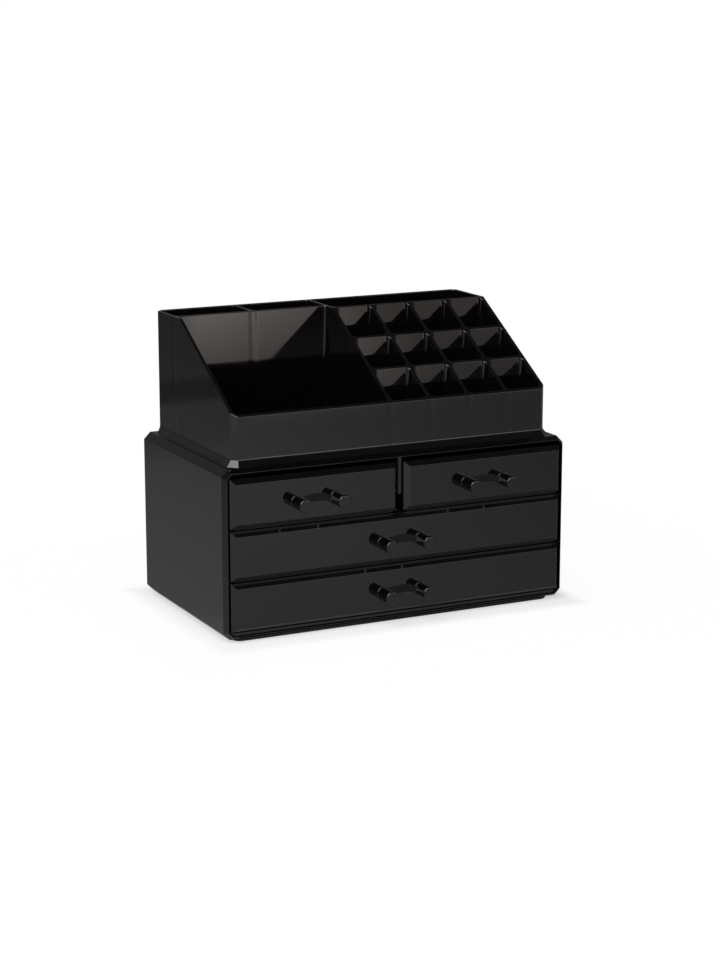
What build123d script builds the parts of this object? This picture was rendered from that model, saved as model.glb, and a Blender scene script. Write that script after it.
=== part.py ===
"""Vanity organizer: a case with four drawers, and a compartment tray that stands on it.

Millimetres. The origin is on the floor under the middle of the case, +Z is up, +X is to the right
as seen from the front, and the drawers pull out towards -Y.
"""
import math
import os

from build123d import *

os.makedirs("parts", exist_ok=True)

# Case: an eight-sided sleeve, open at the front and closed by a panel at the back.
CASE_WIDTH = 240.0
CASE_DEPTH = 132.0
CASE_HEIGHT = 107.0
CASE_WALL = 2.4
CASE_CHAMFER = 4.4
LIP_BEVEL_INWARD = 2.0
LIP_BEVEL_DEPTH = 3.6
GROOVE = 0.8
SHELF = 2.0
DIVIDER = 2.9
DIVIDER_NOTCH_HEIGHT = 10.6
DIVIDER_NOTCH_DEPTH = 12.0
FOOT_HEIGHT = 2.0
FOOT_WIDTH = 224.0
FOOT_DEPTH = 124.0

FRONT_Y = -CASE_DEPTH / 2
BACK_Y = CASE_DEPTH / 2
CASE_MIDDLE_Z = FOOT_HEIGHT + CASE_HEIGHT / 2
CASE_TOP_Z = FOOT_HEIGHT + CASE_HEIGHT
CASE_FLOOR_Z = FOOT_HEIGHT + CASE_WALL
CASE_ROOF_Z = CASE_TOP_Z - CASE_WALL
BACK_PANEL_Y = BACK_Y - CASE_WALL
SHELF_FRONT_Y = FRONT_Y + 2.0

# Drawers: a bevelled front panel screwed to a box, with the same section in every tier.
TIER_PITCH = 32.65
FIRST_FRONT_Z = FOOT_HEIGHT + 5.0
FRONT_HEIGHT = 31.4
FRONT_BEVEL = 3.1
FACE_EDGE_ROUND = 0.25
FRONT_PROUD = 3.0
FRONT_RIM = 1.4
WIDE_FRONT = 232.4
NARROW_FRONT = 114.0
NARROW_OFFSET = (WIDE_FRONT - NARROW_FRONT) / 2
SHELF_BELOW_FRONT = 1.1
BOX_TOP_ON_FRONT = 28.0
BOX_SIDE_GAP = 0.5
BOX_WALL = 2.0
BOX_BACK_Y = 60.0
BOX_FRONT_Y = FRONT_Y + FRONT_RIM
BOX_RUNNING_GAP = 0.4
FACE_Y = FRONT_Y - FRONT_PROUD

# Handles: one moulding, two posts on foot rings with an arched hood between them to pull on.
POST_SPACING = 26.4
POST_RADIUS = 4.3
POST_LENGTH = 13.0
POST_CAP_ROUND = 0.9
POST_HEIGHT_ON_FRONT = 13.7
PILOT_DEPTH = 9.0
FOOT_RING_RADIUS = 4.75
FOOT_RING_HEIGHT = 0.8
HOOD_PROUD = 3.0
HOOD_BELOW = 1.0
HOOD_END_RISE = 0.6
HOOD_MIDDLE_RISE = 4.3
HOOD_LIP_ROUND = 0.4
SCREW_RADIUS = 1.4
SCREW_LENGTH = 13.4
SCREW_HEAD_RADIUS = 2.8
SCREW_HEAD_HEIGHT = 1.8

# Tray: sloped walls over a skirt that flares at the front and the sides.
TRAY_WIDTH = 220.0
TRAY_FRONT_Y = -57.4
TRAY_BACK_Y = BACK_Y
TRAY_WALL = 2.2
TRAY_CORNER = 3.5
TRAY_HEIGHT = 79.6
SKIRT_HEIGHT = 3.8
SKIRT_FLARE = 3.0
TRAY_FLOOR_TOP = 4.0
TRAY_RECESS = 1.8
SLOPE_START_Y = 25.5
SLOPE_ANGLE = 30.5
SKIRT_COVE = 1.6
PARTITION = 2.0
LONG_PARTITION_X = -2.0
POCKET_CORNER = 3.0
POCKET_FLOOR = 1.5
SLOT_DRAFT = 1.2
LARGE_DRAFT = 0.4
RIM_ROUND = 0.5
SLOT_COLUMNS = 4
SLOT_ROWS = 3

TRAY_TOP_Z = CASE_TOP_Z + TRAY_HEIGHT
TRAY_FLOOR_Z = CASE_TOP_Z + TRAY_FLOOR_TOP
TRAY_INNER_X = TRAY_WIDTH / 2 - TRAY_WALL
TRAY_INNER_FRONT_Y = TRAY_FRONT_Y + TRAY_WALL
TRAY_INNER_BACK_Y = TRAY_BACK_Y - TRAY_WALL
SLOT_BACK_Y = SLOPE_START_Y - 0.6
LARGE_BACK_Y = SLOPE_START_Y + 9.1


def front_plane(y):
    """A drawing plane at y that looks to the front: sketches are in X and Z."""
    return Plane(origin=(0, y, 0), x_dir=(1, 0, 0), z_dir=(0, -1, 0))


def prism(sketch, front, back):
    """Extrude an X-Z sketch between two depths."""
    return extrude(front_plane(back) * sketch, back - front)


def block(left, right, front, back, bottom, top):
    """A box given by its six faces."""
    centre = Pos((left + right) / 2, (front + back) / 2, (bottom + top) / 2)
    return centre * Box(right - left, back - front, top - bottom)


def case_outline(inset):
    """The sleeve's eight-sided outline, moved inwards by inset."""
    width = CASE_WIDTH - 2 * inset
    height = CASE_HEIGHT - 2 * inset
    corner = CASE_CHAMFER - inset * (2 - math.sqrt(2))
    outline = Rectangle(width, height)
    return Pos(0, CASE_MIDDLE_Z) * chamfer(outline.vertices(), corner)


def front_bottom(tier):
    """Lower edge of the drawer fronts of a tier, counted from the bottom."""
    return FIRST_FRONT_Z + tier * TIER_PITCH


def shelf_top(tier):
    """The surface that carries the drawers of a tier: above the top edge of the front below it."""
    return front_bottom(tier) - SHELF_BELOW_FRONT if tier else CASE_FLOOR_Z


def make_case():
    """The sleeve with its grooves, and the pieces that are fixed in it."""
    shell = prism(case_outline(0), FRONT_Y + LIP_BEVEL_DEPTH, BACK_Y)
    lip = [
        front_plane(FRONT_Y) * case_outline(LIP_BEVEL_INWARD),
        front_plane(FRONT_Y + LIP_BEVEL_DEPTH) * case_outline(0),
    ]
    shell += loft(lip)
    shell -= prism(case_outline(CASE_WALL), FRONT_Y - 1, BACK_Y + 1)

    shelf_x = CASE_WIDTH / 2 - CASE_WALL + GROOVE
    nodes = {}
    for tier, name in ((1, "lower_shelf"), (2, "upper_shelf")):
        top = shelf_top(tier)
        board = block(-shelf_x, shelf_x, SHELF_FRONT_Y, BACK_PANEL_Y, top - SHELF, top)
        shell -= block(-shelf_x, shelf_x, SHELF_FRONT_Y, BACK_Y + 1, top - SHELF, top)
        nose = board.edges().filter_by(Axis.X).group_by(Axis.Y)[0]
        nodes[name] = fillet(nose, 0.9)

    half = DIVIDER / 2
    foot = shelf_top(2)
    notch_front = FRONT_Y + DIVIDER_NOTCH_DEPTH
    notch_top = front_bottom(2) + DIVIDER_NOTCH_HEIGHT
    tongue_front = FRONT_Y + LIP_BEVEL_DEPTH + 0.4
    divider = block(-half, half, FRONT_Y + 0.6, BACK_PANEL_Y, foot, CASE_ROOF_Z)
    divider = fillet(divider.edges().filter_by(Axis.Z).group_by(Axis.Y)[0], 0.8)
    divider += block(-half, half, tongue_front, BACK_PANEL_Y, foot - GROOVE, CASE_ROOF_Z + GROOVE)
    divider -= block(-half, half, FRONT_Y, notch_front, foot - GROOVE, notch_top)
    nodes["upper_shelf"] -= block(-half, half, notch_front, BACK_Y, foot - GROOVE, foot)
    shell -= block(-half, half, tongue_front, BACK_Y + 1, CASE_ROOF_Z, CASE_ROOF_Z + GROOVE)

    plinth = extrude(RectangleRounded(FOOT_WIDTH, FOOT_DEPTH, 6.0), FOOT_HEIGHT)
    plinth = chamfer(plinth.faces().sort_by(Axis.Z)[0].edges(), 0.5)

    nodes["case_shell"] = shell
    nodes["case_back_panel"] = prism(case_outline(CASE_WALL), BACK_PANEL_Y, BACK_Y)
    nodes["drawer_divider"] = divider
    nodes["base_plinth"] = plinth
    return nodes


def post_positions(x, tier):
    """Where the two posts of a drawer stand, in X and Z."""
    z = front_bottom(tier) + POST_HEIGHT_ON_FRONT
    return [Pos(x - POST_SPACING / 2, z), Pos(x + POST_SPACING / 2, z)]


def make_front(x, width, tier):
    """A panel with all four edges bevelled back to a thin rim, mitred at the corners."""
    centre = Pos(x, front_bottom(tier) + FRONT_HEIGHT / 2)
    face = centre * Rectangle(width - 2 * FRONT_BEVEL, FRONT_HEIGHT - 2 * FRONT_BEVEL)
    outline = centre * Rectangle(width, FRONT_HEIGHT)
    panel = loft([front_plane(FACE_Y) * face, front_plane(FRONT_Y) * outline])
    panel = fillet(panel.faces().sort_by(Axis.Y)[0].edges(), FACE_EDGE_ROUND)
    panel += prism(outline, FRONT_Y, BOX_FRONT_Y)
    for place in post_positions(x, tier):
        panel -= prism(place * Circle(SCREW_RADIUS + 0.2), FACE_Y - 1, BOX_FRONT_Y + 1)
    return panel


def make_box(x, width, tier):
    """An open box with rounded corners, its front wall behind the panel."""
    half = width / 2 - BOX_SIDE_GAP
    bottom = shelf_top(tier) + BOX_RUNNING_GAP
    top = front_bottom(tier) + BOX_TOP_ON_FRONT
    box = block(x - half, x + half, BOX_FRONT_Y, BOX_BACK_Y, bottom, top)
    box = fillet(box.edges().filter_by(Axis.Z).group_by(Axis.Y)[-1], 5.0)
    underside = box.faces().sort_by(Axis.Z)[0].edges()
    box = fillet([edge for edge in underside if edge.center().Y > BOX_FRONT_Y + 1], 3.0)

    inner = half - BOX_WALL
    front = BOX_FRONT_Y + BOX_WALL
    hollow = block(x - inner, x + inner, front, BOX_BACK_Y - BOX_WALL, bottom + BOX_WALL, top + 10)
    hollow = fillet(hollow.edges().filter_by(Axis.Z), 3.5)
    hollow = fillet(hollow.faces().sort_by(Axis.Z)[0].edges(), 2.0)
    box -= hollow
    for place in post_positions(x, tier):
        box -= prism(place * Circle(SCREW_RADIUS + 0.2), BOX_FRONT_Y - 1, front + 1)
    return box


def make_hood(x, tier):
    """The arched hood between the posts: flush with the panel above, and proud along its lower edge."""
    left, right = post_positions(x, tier)
    z = left.position.Y
    low = z - HOOD_BELOW
    end = z + HOOD_END_RISE
    top = z + HOOD_MIDDLE_RISE
    x_left = left.position.X
    x_right = right.position.X
    sides = Polyline((x_left, end), (x_left, low), (x_right, low), (x_right, end))
    arch = ThreePointArc((x_right, end), (x, top), (x_left, end))
    outline = prism(make_face([*sides.edges(), arch]), FACE_Y - HOOD_PROUD, FACE_Y)
    slope = Polyline((FACE_Y, top), (FACE_Y - HOOD_PROUD, low), (FACE_Y, low), close=True)
    wedge = Plane(origin=(x, 0, 0), x_dir=(0, 1, 0), z_dir=(1, 0, 0)) * make_face(slope)
    hood = outline & extrude(wedge, POST_SPACING, both=True)
    lip = hood.edges().filter_by(Axis.X).sort_by(Axis.Y)[0]
    return fillet(lip, HOOD_LIP_ROUND)


def make_post(place):
    """A round post with a rounded cap, on a low foot ring."""
    post = prism(place * Circle(POST_RADIUS), FACE_Y - POST_LENGTH, FACE_Y)
    post = fillet(post.edges().filter_by(GeomType.CIRCLE).sort_by(Axis.Y)[0], POST_CAP_ROUND)
    ring = prism(place * Circle(FOOT_RING_RADIUS), FACE_Y - FOOT_RING_HEIGHT, FACE_Y)
    ring = fillet(ring.edges().filter_by(GeomType.CIRCLE).sort_by(Axis.Y)[0], FOOT_RING_HEIGHT / 2)
    return post + ring


def make_handle(x, tier):
    """Posts and hood in one piece, with a pilot hole in each post for its screw."""
    handle = make_hood(x, tier)
    for place in post_positions(x, tier):
        handle += make_post(place)
    for place in post_positions(x, tier):
        handle -= prism(place * Circle(SCREW_RADIUS + 0.05), FACE_Y - PILOT_DEPTH, FACE_Y + 1)
    return handle


def make_screw(place):
    """A cross-head screw driven from inside the drawer."""
    seat = BOX_FRONT_Y + BOX_WALL
    head_end = seat + SCREW_HEAD_HEIGHT
    head = prism(place * Circle(SCREW_HEAD_RADIUS), seat, head_end)
    head = fillet(head.edges().filter_by(GeomType.CIRCLE).sort_by(Axis.Y)[-1], 1.0)
    for cross in (Rectangle(3.4, 0.7), Rectangle(0.7, 3.4)):
        head -= prism(place * cross, head_end - 0.9, head_end + 1)
    return head + prism(place * Circle(SCREW_RADIUS), seat - SCREW_LENGTH, seat)


def make_drawers():
    """Four drawers: two narrow ones in the top tier and a wide one in each tier below."""
    places = {
        "upper_left": (-NARROW_OFFSET, NARROW_FRONT, 2),
        "upper_right": (NARROW_OFFSET, NARROW_FRONT, 2),
        "middle": (0.0, WIDE_FRONT, 1),
        "bottom": (0.0, WIDE_FRONT, 0),
    }
    nodes = {}
    for name, (x, width, tier) in places.items():
        posts = post_positions(x, tier)
        nodes[name + "_drawer_front"] = make_front(x, width, tier)
        nodes[name + "_drawer_box"] = make_box(x, width, tier)
        nodes[name + "_handle"] = make_handle(x, tier)
        nodes[name + "_handle_screws"] = Compound(children=[make_screw(place) for place in posts])
    return nodes


def behind_face(angle, reach, flare):
    """All that lies behind one outer face of the tray: a flared foot bends smoothly into its wall."""
    far = -2 * CASE_WIDTH
    corners = [(far, 0), (flare, 0), (0, SKIRT_HEIGHT), (0, TRAY_HEIGHT), (far, TRAY_HEIGHT)]
    section = make_face(Polyline(*corners, close=True))
    if flare > 0:
        bend = section.vertices().sort_by_distance((0, SKIRT_HEIGHT))[0]
        section = fillet(bend, SKIRT_COVE)
    outward = Vector(1, 0, 0).rotate(Axis.Z, angle)
    foot = outward * reach + Vector(0, 0, CASE_TOP_Z)
    plane = Plane(origin=foot, x_dir=outward, z_dir=outward.cross(Vector(0, 0, 1)))
    return extrude(plane * section, CASE_WIDTH, both=True)


def make_tray_block():
    """The tray before its compartments: cut corners, and a skirt at the front and the sides."""
    side = TRAY_WIDTH / 2
    front = -TRAY_FRONT_Y
    back = TRAY_BACK_Y
    front_corner = (side + front - TRAY_CORNER) * math.sqrt(0.5)
    back_corner = (side + back - TRAY_CORNER) * math.sqrt(0.5)
    body = behind_face(-90, front, SKIRT_FLARE)
    for angle, reach in ((0, side), (180, side), (-45, front_corner), (-135, front_corner)):
        body &= behind_face(angle, reach, SKIRT_FLARE)
    for angle, reach in ((90, back), (45, back_corner), (135, back_corner)):
        body &= behind_face(angle, reach, 0)
    return body


def slope_z(y):
    """Height of the tray's rim at depth y: level at the back, then down to the front."""
    run = max(0.0, SLOPE_START_Y - y)
    return TRAY_TOP_Z - run * math.tan(math.radians(SLOPE_ANGLE))


def above_slope():
    """Everything above the tray's sloping rim, to cut walls with."""
    far = -80.0
    profile = Polyline(
        (SLOPE_START_Y, TRAY_TOP_Z),
        (far, slope_z(far)),
        (far, TRAY_TOP_Z + 5),
        (SLOPE_START_Y, TRAY_TOP_Z + 5),
        close=True,
    )
    return extrude(Plane.YZ * make_face(profile), CASE_WIDTH / 2, both=True)


def make_pocket(left, right, front, back, draft):
    """The space of one compartment: rounded corners and floor, and a rear wall that leans back a little."""
    rim = slope_z(back)
    lean = math.tan(math.radians(draft))
    top = TRAY_TOP_Z + 5
    section = Polyline(
        (front, TRAY_FLOOR_Z),
        (back - (rim - TRAY_FLOOR_Z) * lean, TRAY_FLOOR_Z),
        (back + (top - rim) * lean, top),
        (front, top),
        close=True,
    )
    width = right - left
    plane = Plane(origin=(left, 0, 0), x_dir=(0, 1, 0), z_dir=(1, 0, 0))
    space = extrude(plane * make_face(section), width)
    uprights = [edge for edge in space.edges() if abs(edge.tangent_at(0.5).Z) > 0.9]
    space = fillet(uprights, POCKET_CORNER)
    return fillet(space.faces().sort_by(Axis.Z)[0].edges(), POCKET_FLOOR)


def pocket_grid(left, right, front, back, columns, rows, draft):
    """Equal pockets in columns and rows, with a partition between neighbours."""
    width = (right - left - (columns - 1) * PARTITION) / columns
    depth = (back - front - (rows - 1) * PARTITION) / rows
    starts = [
        (left + column * (width + PARTITION), front + row * (depth + PARTITION))
        for column in range(columns)
        for row in range(rows)
    ]
    return [make_pocket(x, x + width, y, y + depth, draft) for x, y in starts]


def rim_edges(tray):
    """The edges of the tray's level and sloping rims, without the line where the two rims meet."""
    steep = math.cos(math.radians(SLOPE_ANGLE))
    rims = [face for face in tray.faces() if face.normal_at().Z > steep - 0.01]
    rims = [face for face in rims if face.center().Z > TRAY_FLOOR_Z + 10]
    edges = [edge for rim in rims for edge in rim.edges()]
    return [edge for edge in edges if abs(edge.center().Y - SLOPE_START_Y) > 0.01]


def make_tray():
    """The one-piece tray: skirt, walls, and compartments under a rim that slopes to the front."""
    left_of_long = LONG_PARTITION_X - PARTITION / 2
    right_of_long = LONG_PARTITION_X + PARTITION / 2
    large = (-TRAY_INNER_X, left_of_long)
    small = (right_of_long, TRAY_INNER_X)
    pockets = [
        *pocket_grid(*large, TRAY_INNER_FRONT_Y, LARGE_BACK_Y, 1, 1, LARGE_DRAFT),
        *pocket_grid(*large, LARGE_BACK_Y + PARTITION, TRAY_INNER_BACK_Y, 2, 1, SLOT_DRAFT),
        *pocket_grid(*small, TRAY_INNER_FRONT_Y, SLOT_BACK_Y, SLOT_COLUMNS, SLOT_ROWS, SLOT_DRAFT),
        *pocket_grid(*small, SLOT_BACK_Y + PARTITION, TRAY_INNER_BACK_Y, 1, 1, SLOT_DRAFT),
    ]
    under_x = TRAY_INNER_X - TRAY_CORNER
    recess = block(
        -under_x, under_x, TRAY_INNER_FRONT_Y, TRAY_INNER_BACK_Y, CASE_TOP_Z, CASE_TOP_Z + TRAY_RECESS
    )
    tray = make_tray_block() - pockets - above_slope() - recess
    return fillet(rim_edges(tray), RIM_ROUND)


def main():
    nodes = {**make_case(), **make_drawers(), "top_tray": make_tray()}
    for name, solid in nodes.items():
        export_step(solid, "parts/" + name + ".step")
        size = solid.bounding_box().size
        print(f"{name}: {size.X:.1f} x {size.Y:.1f} x {size.Z:.1f} mm, {len(solid.solids())} solid(s)")


main()
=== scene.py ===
# %% [markdown]
# # A black vanity organizer
#
# The object is a bevelled case with four pull-out drawers, and a tray of compartments that stands on
# its roof. Every hard piece already exists as an exact solid, so this lesson is about the other half
# of a good model: finishes, light and the few small things that are easier to make with nodes.
#
# They are never moved here.

# %% Load the solids
import math

import bpy
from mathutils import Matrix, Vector


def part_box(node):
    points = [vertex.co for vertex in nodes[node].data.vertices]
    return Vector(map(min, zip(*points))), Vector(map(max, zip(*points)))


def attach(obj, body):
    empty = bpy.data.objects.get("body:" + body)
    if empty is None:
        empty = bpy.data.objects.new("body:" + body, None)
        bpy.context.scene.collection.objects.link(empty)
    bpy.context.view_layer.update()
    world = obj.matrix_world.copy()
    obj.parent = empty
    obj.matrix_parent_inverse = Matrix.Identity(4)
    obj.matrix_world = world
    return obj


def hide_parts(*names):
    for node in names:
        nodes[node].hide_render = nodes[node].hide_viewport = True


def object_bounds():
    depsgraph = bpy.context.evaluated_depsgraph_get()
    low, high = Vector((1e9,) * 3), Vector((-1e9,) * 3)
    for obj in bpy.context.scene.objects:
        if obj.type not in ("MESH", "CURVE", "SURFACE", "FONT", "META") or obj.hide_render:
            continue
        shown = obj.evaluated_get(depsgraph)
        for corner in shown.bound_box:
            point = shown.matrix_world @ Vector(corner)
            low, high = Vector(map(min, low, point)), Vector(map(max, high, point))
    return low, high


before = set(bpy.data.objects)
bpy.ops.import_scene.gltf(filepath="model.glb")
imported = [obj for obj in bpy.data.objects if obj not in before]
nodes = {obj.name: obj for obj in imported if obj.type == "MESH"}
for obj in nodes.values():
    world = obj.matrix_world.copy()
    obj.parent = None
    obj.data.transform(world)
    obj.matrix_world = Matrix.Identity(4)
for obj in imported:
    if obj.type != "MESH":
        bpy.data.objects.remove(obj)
scene = bpy.context.scene
solid_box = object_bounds()
print("size in mm:", [round(1000 * edge) for edge in solid_box[1] - solid_box[0]])

# %% [markdown]
# ## Camera
#
# The viewpoint is a long lens a metre and a half away, a little to the left of the front and looking
# down by thirteen degrees. A long lens keeps the upright edges of the case almost parallel. The angles
# come from fitting the case's corners to the picture, and there is no lens shift, so the same camera
# can be carried round the object without the object sliding out of frame.

# %% Place the camera
FOCAL_LENGTH = 86.06
SENSOR_LONG_SIDE = 36.0
CAMERA_PLACE = (-0.6452, -1.3088, 0.4115)
LOOKING_DOWN = math.radians(12.859)
LOOKING_RIGHT = math.radians(26.400)

lens = bpy.data.cameras.new("product_camera")
lens.lens = FOCAL_LENGTH
lens.sensor_width = SENSOR_LONG_SIDE
camera = bpy.data.objects.new("product_camera", lens)
camera.location = CAMERA_PLACE
camera.rotation_euler = (math.pi / 2 - LOOKING_DOWN, 0, -LOOKING_RIGHT)
scene.collection.objects.link(camera)
scene.camera = camera
scene.view_settings.view_transform = "Standard"
print("camera", round(camera.location.length, 2), "m from the origin")

# %% [markdown]
# ## A way to write node trees
#
# Every material, the floor and the world are node trees. One small function adds a node, sets its
# options and fills its inputs: an input that is given another node's output becomes a link, and any
# other value is typed into the socket. Colours are written as the hex values that a paint program
# shows, so a second function turns those into the linear values that a shader works with. A third asks
# what kind of ray has arrived, because floor and room look different to the lens than to a mirror.

# %% Helpers for nodes and colours
def add(tree, kind, inputs=None, **options):
    """Add a node, set its options, and link or fill its inputs by name or number."""
    node = tree.nodes.new(kind)
    for option, value in options.items():
        setattr(node, option, value)
    for key, value in (inputs or {}).items():
        socket = node.inputs[key]
        if isinstance(value, bpy.types.NodeSocket):
            tree.links.new(value, socket)
        else:
            socket.default_value = value
    return node


def linear(hex_colour):
    """Turn an sRGB hex colour into linear red, green, blue and alpha."""
    channels = [int(hex_colour[start:start + 2], 16) / 255 for start in (1, 3, 5)]
    curved = [c / 12.92 if c <= 0.04045 else ((c + 0.055) / 1.055) ** 2.4 for c in channels]
    return (*curved, 1.0)


def arriving_ray(tree):
    """The kinds of ray, and a mask of those that see the plain white background."""
    kinds = add(tree, "ShaderNodeLightPath").outputs
    seen = add(tree, "ShaderNodeMath", {0: kinds["Is Camera Ray"], 1: kinds["Is Transmission Ray"]},
               operation="MAXIMUM")
    return kinds, seen.outputs[0]


print("mid grey is", [round(c, 3) for c in linear("#808080")])

# %% [markdown]
# ## Studio floor
#
# Black gloss has almost no colour of its own: what the eye reads is the room mirrored in it. A mirror that
# faces the camera from below eye level shows the floor, so the floor decides how grey each upright face
# looks. To a mirror the floor is paper with painted shade in its grey: pale in front of the object and darker
# behind it and to the sides, standing in for how the light fell off across the floor, so that the left side,
# which is seen at a flatter angle and mirrors more, doesn't turn too pale. A slanting shaft of window light
# lies on the paper far in front, with a sharp left edge and a slow fade to the right, and only the tray's
# rear walls are high enough to mirror it. The shaft glows for mirrors alone.
#
# The camera sees plain white paper instead. It is lifted to full white by mixing in glow, with less of
# it close to the object, where the paper has to keep the object's shadow.

# %% Lay the floor
FLOOR_REACH = 60.0

corners = [(x * FLOOR_REACH, y * FLOOR_REACH, 0) for x, y in ((-1, -1), (1, -1), (1, 1), (-1, 1))]
floor_mesh = bpy.data.meshes.new("studio_floor")
floor_mesh.from_pydata(corners, [], [(0, 1, 2, 3)])
floor = bpy.data.objects.new("studio_floor", floor_mesh)
scene.collection.objects.link(floor)
print("floor", 2 * FLOOR_REACH, "m wide")

# %% Paper with painted shade in a graduated tone
PAPER_REACH = 1.2

# A pair is a place, as a share of the way from front to back or from left to right, and the painted grey
# there.
PAINTED_SHADE_IN_FRONT = ((0.0, 0.62), (0.25, 0.69), (0.458, 0.60))
PAINTED_SHADE_BEHIND = ((0.512, 0.39), (0.667, 0.40), (0.72, 0.30), (0.775, 0.31), (1.0, 0.34))
# The dark strip behind the object is painted shade, which the tray's left wall mirrors as its dark band.
PAINTED_SHADE_STRIP = ((0.79, 0.16), (0.82, 0.16), (0.835, 0.28))
PAINTED_SHADE_ALONG = sorted(PAINTED_SHADE_IN_FRONT + PAINTED_SHADE_BEHIND + PAINTED_SHADE_STRIP)
PAINTED_SHADE_ACROSS = ((0.0, 0.55), (0.21, 0.68), (0.46, 0.98), (0.50, 0.97), (0.66, 0.68), (0.80, 0.80))


def ramp_over(tree, value, steps, interpolation="EASE"):
    """A colour ramp of grey levels at the given places."""
    node = add(tree, "ShaderNodeValToRGB", {"Fac": value})
    ramp = node.color_ramp
    ramp.interpolation = interpolation
    while len(ramp.elements) < len(steps):
        ramp.elements.new(0.5)
    for element, (position, level) in zip(ramp.elements, steps):
        element.position = position
        element.color = (level, level, level, 1)
    return node.outputs["Color"]


paper = bpy.data.materials.new("paper_with_painted_shade")
paper.use_nodes = True
tree = paper.node_tree
tree.nodes.clear()
place = add(tree, "ShaderNodeTexCoord").outputs["Object"]
across, along, _ = add(tree, "ShaderNodeSeparateXYZ", {0: place}).outputs
ray, seen = arriving_ray(tree)
levels = []
for distance, steps in ((along, PAINTED_SHADE_ALONG), (across, PAINTED_SHADE_ACROSS)):
    share = add(tree, "ShaderNodeMapRange",
                {"Value": distance, "From Min": -PAPER_REACH, "From Max": PAPER_REACH})
    levels.append(ramp_over(tree, share.outputs[0], steps))
# The two ramps multiply into the paper's painted shade, darker behind and beside the object; the camera sees
# full white instead.
grey = add(tree, "ShaderNodeMath", dict(enumerate(levels)), operation="MULTIPLY")
level = add(tree, "ShaderNodeMath", {0: grey.outputs[0], 1: seen}, operation="MAXIMUM")
matt = add(tree, "ShaderNodeBsdfDiffuse", {"Color": level.outputs[0]})
print("paper graduated over", 2 * PAPER_REACH, "m")

# %% White for the camera, except in the object's shadow
SHADOW_REACH = 0.3
WHITE_STEPS = ((0.0, 0.55), (0.05, 0.95), (0.20, 0.985), (1.0, 1.0))

half_size = (solid_box[1] - solid_box[0]) / 2
outside = []
for distance, half in ((across, half_size.x), (along, half_size.y)):
    reach = add(tree, "ShaderNodeMath", {0: distance}, operation="ABSOLUTE")
    past = add(tree, "ShaderNodeMath", {0: reach.outputs[0], 1: half}, operation="SUBTRACT")
    outside.append(past.outputs[0])
away = add(tree, "ShaderNodeMath", dict(enumerate(outside)), operation="MAXIMUM")
share = add(tree, "ShaderNodeMath", {0: away.outputs[0], 1: SHADOW_REACH}, operation="DIVIDE")
lift = ramp_over(tree, share.outputs[0], WHITE_STEPS)
for_camera = add(tree, "ShaderNodeMath", {0: seen, 1: lift}, operation="MULTIPLY")
white = add(tree, "ShaderNodeEmission", {"Color": linear("#ffffff"), "Strength": 1.0})
print("white paper from", SHADOW_REACH, "m outwards")

# %% A shaft of window light for the mirrors
SHAFT_SLANT = 0.42

# Each pair runs from dark to lit: across the shaft on its left and on its right, and away from the object.
SHAFT_EDGE = (-0.14, -0.095)
SHAFT_FADE = (0.17, -0.10)
SHAFT_RISE = (-0.65, -1.35)
SHAFT_REST = 0.2
SHAFT_COLOUR = "#fff3ee"
SHAFT_LEVEL = 2.75

slanted = add(tree, "ShaderNodeMath", {0: along, 1: SHAFT_SLANT, 2: across}, operation="MULTIPLY_ADD")
beam = SHAFT_LEVEL
for (dark, lit), rest in ((SHAFT_EDGE, 0.0), (SHAFT_FADE, SHAFT_REST)):
    share = add(tree, "ShaderNodeMapRange",
                {"Value": slanted.outputs[0], "From Min": dark, "From Max": lit, "To Min": rest})
    beam = add(tree, "ShaderNodeMath", {0: share.outputs[0], 1: beam}, operation="MULTIPLY").outputs[0]
far = add(tree, "ShaderNodeMapRange", {"Value": along, "From Min": SHAFT_RISE[0], "From Max": SHAFT_RISE[1]})
far = add(tree, "ShaderNodeMath", {0: far.outputs[0], 1: ray["Is Glossy Ray"]}, operation="MULTIPLY")
bright = add(tree, "ShaderNodeEmission", {"Color": linear(SHAFT_COLOUR), "Strength": beam})
mirrored = add(tree, "ShaderNodeMixShader", {0: far.outputs[0], 1: matt.outputs[0], 2: bright.outputs[0]})
mixed = add(tree, "ShaderNodeMixShader",
            {0: for_camera.outputs[0], 1: mirrored.outputs[0], 2: white.outputs[0]})
add(tree, "ShaderNodeOutputMaterial", {"Surface": mixed.outputs[0]})
floor_mesh.materials.append(paper)
print("shaft of light from", -SHAFT_RISE[0], "m in front")

# %% [markdown]
# ## Room and lamps
#
# The upward bevels of the drawers are nearly pure black in the picture, so the ceiling they mirror has
# to be dark, and low down the room is only a little paler. The world is therefore a ramp over the height
# of the view direction. Two soft lamps do the rest: a large key at the front left, which also draws the
# bright arc on each round handle and shows in the tray's cut corner, and a broad window low at the front
# right, which is the thin light line along rounded edges.

# %% Make the room
ROOM_STEPS = ((0.50, 0.15), (0.70, 0.13), (0.82, 0.19), (0.90, 0.05), (0.95, 0.03))

room = bpy.data.worlds.new("dark_ceiling_room")
room.use_nodes = True
tree = room.node_tree
tree.nodes.clear()
direction = add(tree, "ShaderNodeTexCoord")
height = add(tree, "ShaderNodeSeparateXYZ", {0: direction.outputs["Generated"]})
share = add(tree, "ShaderNodeMapRange", {"Value": height.outputs["Z"], "From Min": -1.0, "From Max": 1.0})
dim = ramp_over(tree, share.outputs[0], ROOM_STEPS)
_, seen = arriving_ray(tree)
sky = add(tree, "ShaderNodeMix", {0: seen, 6: dim, 7: linear("#ffffff")}, data_type="RGBA")
shine = add(tree, "ShaderNodeBackground", {"Color": sky.outputs[2], "Strength": 1.0})
add(tree, "ShaderNodeOutputWorld", {"Surface": shine.outputs[0]})
scene.world = room
print("room ramp with", len(ROOM_STEPS), "steps")

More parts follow.
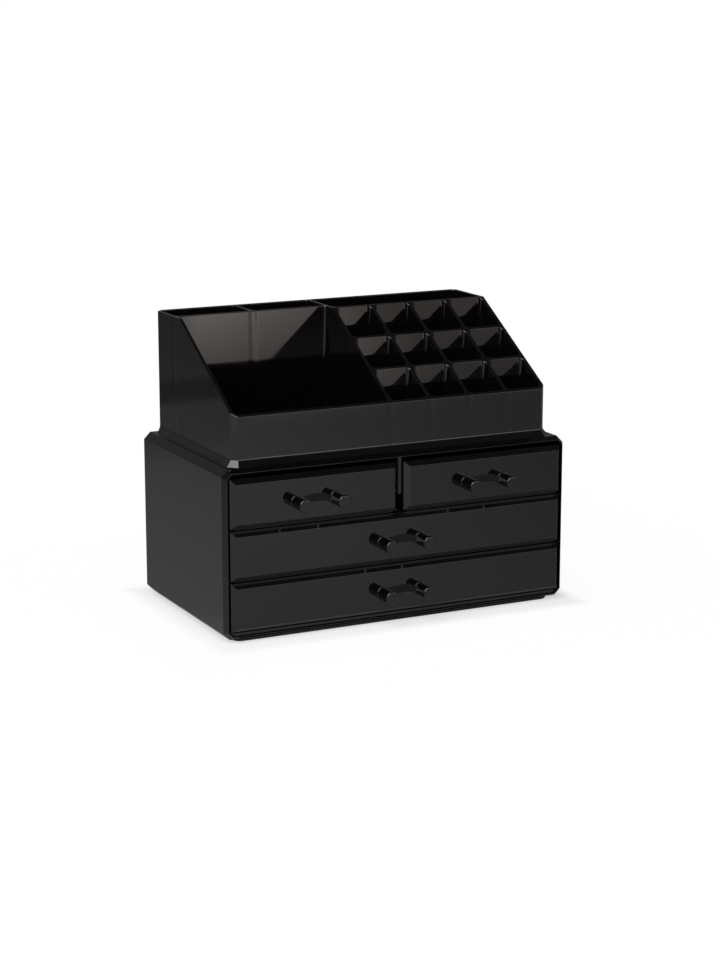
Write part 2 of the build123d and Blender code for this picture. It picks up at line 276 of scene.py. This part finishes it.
# %% Hang the lamps
def hang_lamp(name, place, target, width, height, watts, colour="#ffffff"):
    """A soft rectangular lamp that faces a point on the object."""
    data = bpy.data.lights.new(name, "AREA")
    data.shape = "RECTANGLE"
    data.size = width
    data.size_y = height
    data.energy = watts
    data.color = linear(colour)[:3]
    lamp = bpy.data.objects.new(name, data)
    lamp.location = place
    lamp.rotation_euler = (Vector(target) - Vector(place)).to_track_quat("-Z", "Y").to_euler()
    scene.collection.objects.link(lamp)
    return lamp


lamps = [
    hang_lamp("key_softbox", place=(-0.93, -0.75, 1.06), target=(0, -0.1, 0.05),
              width=1.5, height=1.5, watts=28.0),
    hang_lamp("low_window", place=(0.85, -1.85, 0.50), target=(0, 0, 0.1),
              width=1.6, height=1.0, watts=7.0, colour="#fff6ef"),
]
print("lamps:", ", ".join(lamp.name for lamp in lamps))

# %% [markdown]
# ## Polished black polystyrene
#
# The case, drawers and tray are injection moulded in general purpose polystyrene, coloured in the mass
# and shaped in a polished steel mould. That gives a deep black with a clear mirror coat: a refractive
# index near 1.59 and very low roughness. Nothing moulded is perfectly flat, though. The plastic shrinks
# as it cools, so broad faces carry slow ripples up to three hundredths of a millimetre deep, and wiping
# leaves a faint haze that changes the roughness from place to place.
#
# A flat colour with one roughness would look like a computer's idea of plastic. Here one noise drives the
# haze and another the ripples, both measured in millimetres on object coordinates. The bump node carries
# a label, so that a finish can find it and add to its height.

# %% Moulded plastic
HAZE_SIZE_MM = 14.0
HAZE_DETAIL = 6.0
HAZE_FINENESS = 0.62
HAZE_RANGE = (0.3, 0.75)
RIPPLE_SIZE_MM = 38.0
RIPPLE_DETAIL = 1.0
POLYSTYRENE_IOR = 1.59
MICROMETRE = 1e-6


def per_metre(size_mm):
    """The noise scale that gives features of a size."""
    return 1000.0 / size_mm


def moulded_plastic(name, deep, hazed, smooth, dull, ripple_um):
    """Black plastic from a polished mould: two tones, a range of roughness, and ripples of a depth."""
    material = bpy.data.materials.new(name)
    material.use_nodes = True
    tree = material.node_tree
    shader = tree.nodes["Principled BSDF"]
    shader.inputs["IOR"].default_value = POLYSTYRENE_IOR
    place = add(tree, "ShaderNodeTexCoord").outputs["Object"]
    haze = add(tree, "ShaderNodeTexNoise",
               {"Vector": place, "Scale": per_metre(HAZE_SIZE_MM),
                "Detail": HAZE_DETAIL, "Roughness": HAZE_FINENESS})
    tone = add(tree, "ShaderNodeMix", {0: haze.outputs["Fac"], 6: linear(deep), 7: linear(hazed)},
               data_type="RGBA")
    rough = add(tree, "ShaderNodeMapRange",
                {"Value": haze.outputs["Fac"], "From Min": HAZE_RANGE[0], "From Max": HAZE_RANGE[1],
                 "To Min": smooth, "To Max": dull})
    ripple = add(tree, "ShaderNodeTexNoise",
                 {"Vector": place, "Scale": per_metre(RIPPLE_SIZE_MM), "Detail": RIPPLE_DETAIL})
    waves = add(tree, "ShaderNodeMath", {0: ripple.outputs["Fac"], 1: ripple_um}, operation="MULTIPLY")
    relief = add(tree, "ShaderNodeBump",
                 {"Strength": 1.0, "Distance": MICROMETRE, "Height": waves.outputs[0]}, label="relief")
    tree.links.new(tone.outputs[2], shader.inputs["Base Color"])
    tree.links.new(rough.outputs[0], shader.inputs["Roughness"])
    tree.links.new(relief.outputs[0], shader.inputs["Normal"])
    return material


case_plastic = moulded_plastic("polished_black_polystyrene_case", "#040404", "#080809",
                               smooth=0.05, dull=0.10, ripple_um=22.0)
drawer_plastic = moulded_plastic("polished_black_polystyrene_drawers", "#040404", "#080809",
                                 smooth=0.04, dull=0.07, ripple_um=9.0)
handle_plastic = moulded_plastic("polished_black_polystyrene_handles", "#030303", "#060607",
                                 smooth=0.04, dull=0.07, ripple_um=3.0)
tray_plastic = moulded_plastic("smoke_black_polystyrene_tray", "#060505", "#0a0807",
                               smooth=0.04, dull=0.07, ripple_um=16.0)
inner_plastic = moulded_plastic("moulded_black_polystyrene_inside", "#060606", "#0b0b0c",
                                smooth=0.16, dull=0.28, ripple_um=30.0)
print("plastics:", case_plastic.name, drawer_plastic.name, handle_plastic.name, tray_plastic.name)

# %% [markdown]
# ## Sink marks on the tray
#
# Where a partition meets another wall the plastic is thicker, cools last and pulls the surface in by
# less than a tenth of a millimetre. On a mirror finish that is enough to bend the reflection into a soft
# upright band, and the picture shows them on the tray's front wall before the partitions of the slots.
#
# The bands could be modelled, but they are far too shallow to show as a shape, so they are added to the
# bump. A band is a smooth dip in the distance from the partition's middle plane, and a mask keeps it to
# the walls that the partition really meets.

# %% Press the sink marks in
SINK_DEPTH_UM = 85.0
SINK_HALF_WIDTH = 0.0042
SLOT_PITCH = 0.0277
LONG_PARTITION_X = -0.002
REAR_PARTITION_X = -0.0554
LARGE_WALL_Y = 0.0356
NEARLY_SQUARE = 0.9

tree = tray_plastic.node_tree
place = add(tree, "ShaderNodeTexCoord").outputs["Object"]
across, along, _ = add(tree, "ShaderNodeSeparateXYZ", {0: place}).outputs
normal = add(tree, "ShaderNodeNewGeometry").outputs["Normal"]
turned, facing, _ = add(tree, "ShaderNodeSeparateXYZ", {0: normal}).outputs


def dip(distance):
    """A smooth dip that is one in the middle of a band and nothing at its edge."""
    return add(tree, "ShaderNodeMapRange",
               {"Value": distance, "From Max": SINK_HALF_WIDTH, "To Min": 1.0, "To Max": 0.0},
               interpolation_type="SMOOTHERSTEP").outputs[0]


def offset_from(value, middle):
    """The distance from a plane, without its sign."""
    shifted = add(tree, "ShaderNodeMath", {0: value, 1: middle}, operation="SUBTRACT")
    return add(tree, "ShaderNodeMath", {0: shifted.outputs[0]}, operation="ABSOLUTE").outputs[0]


def both(first, second):
    """The product of two masks."""
    return add(tree, "ShaderNodeMath", {0: first, 1: second}, operation="MULTIPLY").outputs[0]


def beyond(value, limit):
    """A mask of one where a value is above a limit."""
    return add(tree, "ShaderNodeMath", {0: value, 1: limit}, operation="GREATER_THAN").outputs[0]


def faces_back_along(part_of_normal):
    """A mask of the faces that look against an axis, given their normal's part along it."""
    against = add(tree, "ShaderNodeMath", {0: part_of_normal, 1: -1.0}, operation="MULTIPLY")
    return beyond(against.outputs[0], NEARLY_SQUARE)


from_long = add(tree, "ShaderNodeMath", {0: across, 1: LONG_PARTITION_X}, operation="SUBTRACT").outputs[0]
to_nearest = add(tree, "ShaderNodeMath", {0: from_long, 1: SLOT_PITCH / 2}, operation="PINGPONG").outputs[0]
faces_front = faces_back_along(facing)
faces_left = faces_back_along(turned)
at_slots = both(beyond(across, LONG_PARTITION_X - SINK_HALF_WIDTH), both(dip(to_nearest), faces_front))
at_rear = both(beyond(along, LARGE_WALL_Y / 2), both(dip(offset_from(across, REAR_PARTITION_X)), faces_front))
at_end = both(faces_left, dip(offset_from(along, LARGE_WALL_Y)))
marks = add(tree, "ShaderNodeMath", {0: at_slots, 1: at_rear}, operation="ADD").outputs[0]
marks = add(tree, "ShaderNodeMath", {0: marks, 1: at_end}, operation="ADD").outputs[0]

relief = next(node for node in tree.nodes if node.label == "relief")
waves = relief.inputs["Height"].links[0].from_socket
sunk = add(tree, "ShaderNodeMath", {0: marks, 1: -SINK_DEPTH_UM, 2: waves}, operation="MULTIPLY_ADD")
tree.links.new(sunk.outputs[0], relief.inputs["Height"])
print("sink marks every", round(1000 * SLOT_PITCH, 1), "mm,", SINK_DEPTH_UM / 1000, "mm deep")

# %% [markdown]
# ## Zinc plated screws
#
# The handle screws are driven from inside each drawer, so they show only when a drawer is open. Bright
# zinc is a thin grey metal layer with a fine crystal grain, neither mirror nor matt.

# %% Zinc plating
GRAIN_SIZE_MM = 0.6

zinc = bpy.data.materials.new("zinc_plated_steel")
zinc.use_nodes = True
tree = zinc.node_tree
shader = tree.nodes["Principled BSDF"]
shader.inputs["Metallic"].default_value = 1.0
place = add(tree, "ShaderNodeTexCoord").outputs["Object"]
grain = add(tree, "ShaderNodeTexVoronoi", {"Vector": place, "Scale": per_metre(GRAIN_SIZE_MM)})
tone = add(tree, "ShaderNodeMix", {0: grain.outputs["Distance"], 6: linear("#a9adb3"), 7: linear("#c6c9ce")},
           data_type="RGBA")
rough = add(tree, "ShaderNodeMapRange", {"Value": grain.outputs["Distance"], "To Min": 0.24, "To Max": 0.42})
tree.links.new(tone.outputs[2], shader.inputs["Base Color"])
tree.links.new(rough.outputs[0], shader.inputs["Roughness"])
print("metal:", zinc.name)

# %% [markdown]
# ## Threaded screws
#
# Each handle is held by two cross-head screws. The solids of the screws have plain shanks, because a
# thread is a lot of faces for something that sits in a post, and only the head shows in an open drawer.
# A screw is the same shape many times over and its thread follows a rule, which is what Geometry Nodes
# are for: one tree builds a screw from named sizes and copies it to every point of a small mesh.
#
# The screw is built standing up, with its head's seat at the origin and its tip pointing down.

# %% Start the screw's tree
SCREW_SIZES = {
    "Head Radius": 0.0028,
    "Head Height": 0.0018,
    "Dome": 0.0008,
    "Recess Length": 0.0034,
    "Recess Width": 0.0007,
    "Recess Depth": 0.0009,
    "Core Radius": 0.00105,
    "Thread Radius": 0.0014,
    "Thread Pitch": 0.0012,
    "Length": 0.0134,
    "Tip": 0.0022,
}
TIP_RADIUS = 0.0002
HEAD_SIDES = 40
HEAD_RINGS = 8
SHANK_SIDES = 24
STEPS_PER_TURN = 20
DOME_CURVE = 3.0

screw_tree = bpy.data.node_groups.new("cross_head_screws", "GeometryNodeTree")
ports = screw_tree.interface
ports.new_socket("Geometry", in_out="INPUT", socket_type="NodeSocketGeometry")
sockets = {}
for size in SCREW_SIZES:
    sockets[size] = ports.new_socket(size, in_out="INPUT", socket_type="NodeSocketFloat")
plating = ports.new_socket("Plating", in_out="INPUT", socket_type="NodeSocketMaterial")
ports.new_socket("Geometry", in_out="OUTPUT", socket_type="NodeSocketGeometry")
given = add(screw_tree, "NodeGroupInput").outputs
print("screw tree with", len(sockets), "sizes")


# %% Lay out sums and places inside the tree
def work_out(first, operation, second=0.0, third=0.0):
    """A sum of sizes inside the screw's tree."""
    values = {0: first, 1: second, 2: third}
    return add(screw_tree, "ShaderNodeMath", values, operation=operation).outputs[0]


def at_height(mesh, height):
    """The same shape, raised along the screw."""
    raised = add(screw_tree, "ShaderNodeCombineXYZ", {"Z": height})
    moved = add(screw_tree, "GeometryNodeTransform", {"Geometry": mesh, "Translation": raised.outputs[0]})
    return moved.outputs[0]


half_head = work_out(given["Head Height"], "MULTIPLY", 0.5)
shank = work_out(given["Length"], "SUBTRACT", given["Tip"])
middle_of_shank = work_out(shank, "MULTIPLY", -0.5)
print("sums ready")

# %% The head: a disc whose top is domed, with a cross cut into it
blank = add(screw_tree, "GeometryNodeMeshCylinder",
            {"Vertices": HEAD_SIDES, "Side Segments": 2, "Fill Segments": HEAD_RINGS,
             "Radius": given["Head Radius"], "Depth": given["Head Height"]})
spot = add(screw_tree, "GeometryNodeInputPosition").outputs[0]
flat = add(screw_tree, "ShaderNodeVectorMath", {0: spot, 1: (1, 1, 0)}, operation="MULTIPLY")
reach = add(screw_tree, "ShaderNodeVectorMath", {0: flat.outputs[0]}, operation="LENGTH").outputs["Value"]
share = work_out(reach, "DIVIDE", given["Head Radius"])
drop = work_out(work_out(share, "POWER", DOME_CURVE), "MULTIPLY", given["Dome"])
lower = add(screw_tree, "ShaderNodeCombineXYZ", {"Z": work_out(drop, "MULTIPLY", -1.0)})
domed = add(screw_tree, "GeometryNodeSetPosition",
            {"Geometry": blank.outputs["Mesh"], "Selection": blank.outputs["Top"],
             "Offset": lower.outputs[0]})
head = at_height(domed.outputs[0], half_head)
for first, second in (("Recess Length", "Recess Width"), ("Recess Width", "Recess Length")):
    depth = work_out(given["Recess Depth"], "MULTIPLY", 2.0)
    size = add(screw_tree, "ShaderNodeCombineXYZ", {"X": given[first], "Y": given[second], "Z": depth})
    bar = add(screw_tree, "GeometryNodeMeshCube", {"Size": size.outputs[0]})
    cutter = at_height(bar.outputs["Mesh"], given["Head Height"])
    cut = add(screw_tree, "GeometryNodeMeshBoolean", {"Mesh 1": head, "Mesh 2": cutter},
              operation="DIFFERENCE")
    head = cut.outputs["Mesh"]
print("head with a cross recess")

# %% The shank: a core, a pointed tip and a ridge that winds round them
core = add(screw_tree, "GeometryNodeMeshCylinder",
           {"Vertices": SHANK_SIDES, "Radius": given["Core Radius"], "Depth": shank})
point = add(screw_tree, "GeometryNodeMeshCone",
            {"Vertices": SHANK_SIDES, "Radius Top": given["Core Radius"], "Radius Bottom": TIP_RADIUS,
             "Depth": given["Tip"]})
turns = work_out(shank, "DIVIDE", given["Thread Pitch"])
crest = work_out(given["Thread Radius"], "SUBTRACT", given["Core Radius"])
spiral = add(screw_tree, "GeometryNodeCurveSpiral",
             {"Resolution": STEPS_PER_TURN, "Rotations": turns, "Start Radius": given["Core Radius"],
              "End Radius": given["Core Radius"], "Height": shank})
edge = add(screw_tree, "GeometryNodeCurvePrimitiveCircle", {"Resolution": 4, "Radius": crest})
ridge = add(screw_tree, "GeometryNodeCurveToMesh",
            {"Curve": spiral.outputs[0], "Profile Curve": edge.outputs[0], "Fill Caps": True})
end_of_shank = work_out(shank, "MULTIPLY", -1.0)
end_of_tip = work_out(given["Length"], "MULTIPLY", -1.0)
meshes = (
    head,
    at_height(core.outputs["Mesh"], middle_of_shank),
    at_height(point.outputs["Mesh"], end_of_tip),
    at_height(ridge.outputs[0], end_of_shank),
)
whole = add(screw_tree, "GeometryNodeJoinGeometry")
for mesh in meshes:
    screw_tree.links.new(mesh, whole.inputs[0])
print("shank with a wound thread")

# %% A copy at every point, made real and plated
DRIVEN_FROM_INSIDE = (-math.pi / 2, 0, 0)

copies = add(screw_tree, "GeometryNodeInstanceOnPoints",
             {"Points": given["Geometry"], "Instance": whole.outputs[0], "Rotation": DRIVEN_FROM_INSIDE})
solid_copies = add(screw_tree, "GeometryNodeRealizeInstances", {"Geometry": copies.outputs[0]})
plated = add(screw_tree, "GeometryNodeSetMaterial",
             {"Geometry": solid_copies.outputs[0], "Material": given["Plating"]})
add(screw_tree, "NodeGroupOutput", {0: plated.outputs[0]})
print("tree of", len(screw_tree.nodes), "nodes")


# %% Drive the screws into each handle
def drive_screws(node, body):
    """Threaded screws in place of a pair of plain ones, as one plain mesh."""
    low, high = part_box(node)
    seat = high.y - SCREW_SIZES["Head Height"]
    across = (low.x + SCREW_SIZES["Head Radius"], high.x - SCREW_SIZES["Head Radius"])
    level = (low.z + high.z) / 2
    mesh = bpy.data.meshes.new(node + "_points")
    mesh.from_pydata([(x, seat, level) for x in across], [], [])
    maker = bpy.data.objects.new(node + "_maker", mesh)
    scene.collection.objects.link(maker)
    modifier = maker.modifiers.new("screws", "NODES")
    modifier.node_group = screw_tree
    for size, socket in sockets.items():
        modifier[socket.identifier] = SCREW_SIZES[size]
    modifier[plating.identifier] = zinc
    bpy.context.view_layer.update()
    evaluated = maker.evaluated_get(bpy.context.evaluated_depsgraph_get())
    made = bpy.data.meshes.new_from_object(evaluated)
    made.name = node.replace("handle_screws", "threaded_screws")
    bpy.data.objects.remove(maker)
    screws = bpy.data.objects.new(made.name, made)
    scene.collection.objects.link(screws)
    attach(screws, body)
    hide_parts(node)
    return screws


for name in [name for name in nodes if name.endswith("_handle_screws")]:
    pair = drive_screws(name, name.replace("handle_screws", "drawer"))
    print(pair.name, len(pair.data.polygons), "faces")

# %% [markdown]
# ## Dress the solids
#
# A solid keeps its shape and only swaps the material in its slot. The rule follows how each piece was
# made: faces that a polished mould formed are mirror black, boards and boxes inside are duller.

# %% Give each solid its finish
def finish_of(name):
    """The material that a piece was made in."""
    if name.endswith("screws"):
        return zinc
    if name.endswith("handle"):
        return handle_plastic
    if name.endswith("drawer_front"):
        return drawer_plastic
    if name.endswith(("drawer_box", "shelf")) or name == "case_back_panel":
        return inner_plastic
    if name.endswith("tray"):
        return tray_plastic
    return case_plastic


for name, solid in nodes.items():
    for slot in solid.material_slots:
        slot.material = finish_of(name)
print("dressed", len(nodes), "solids")
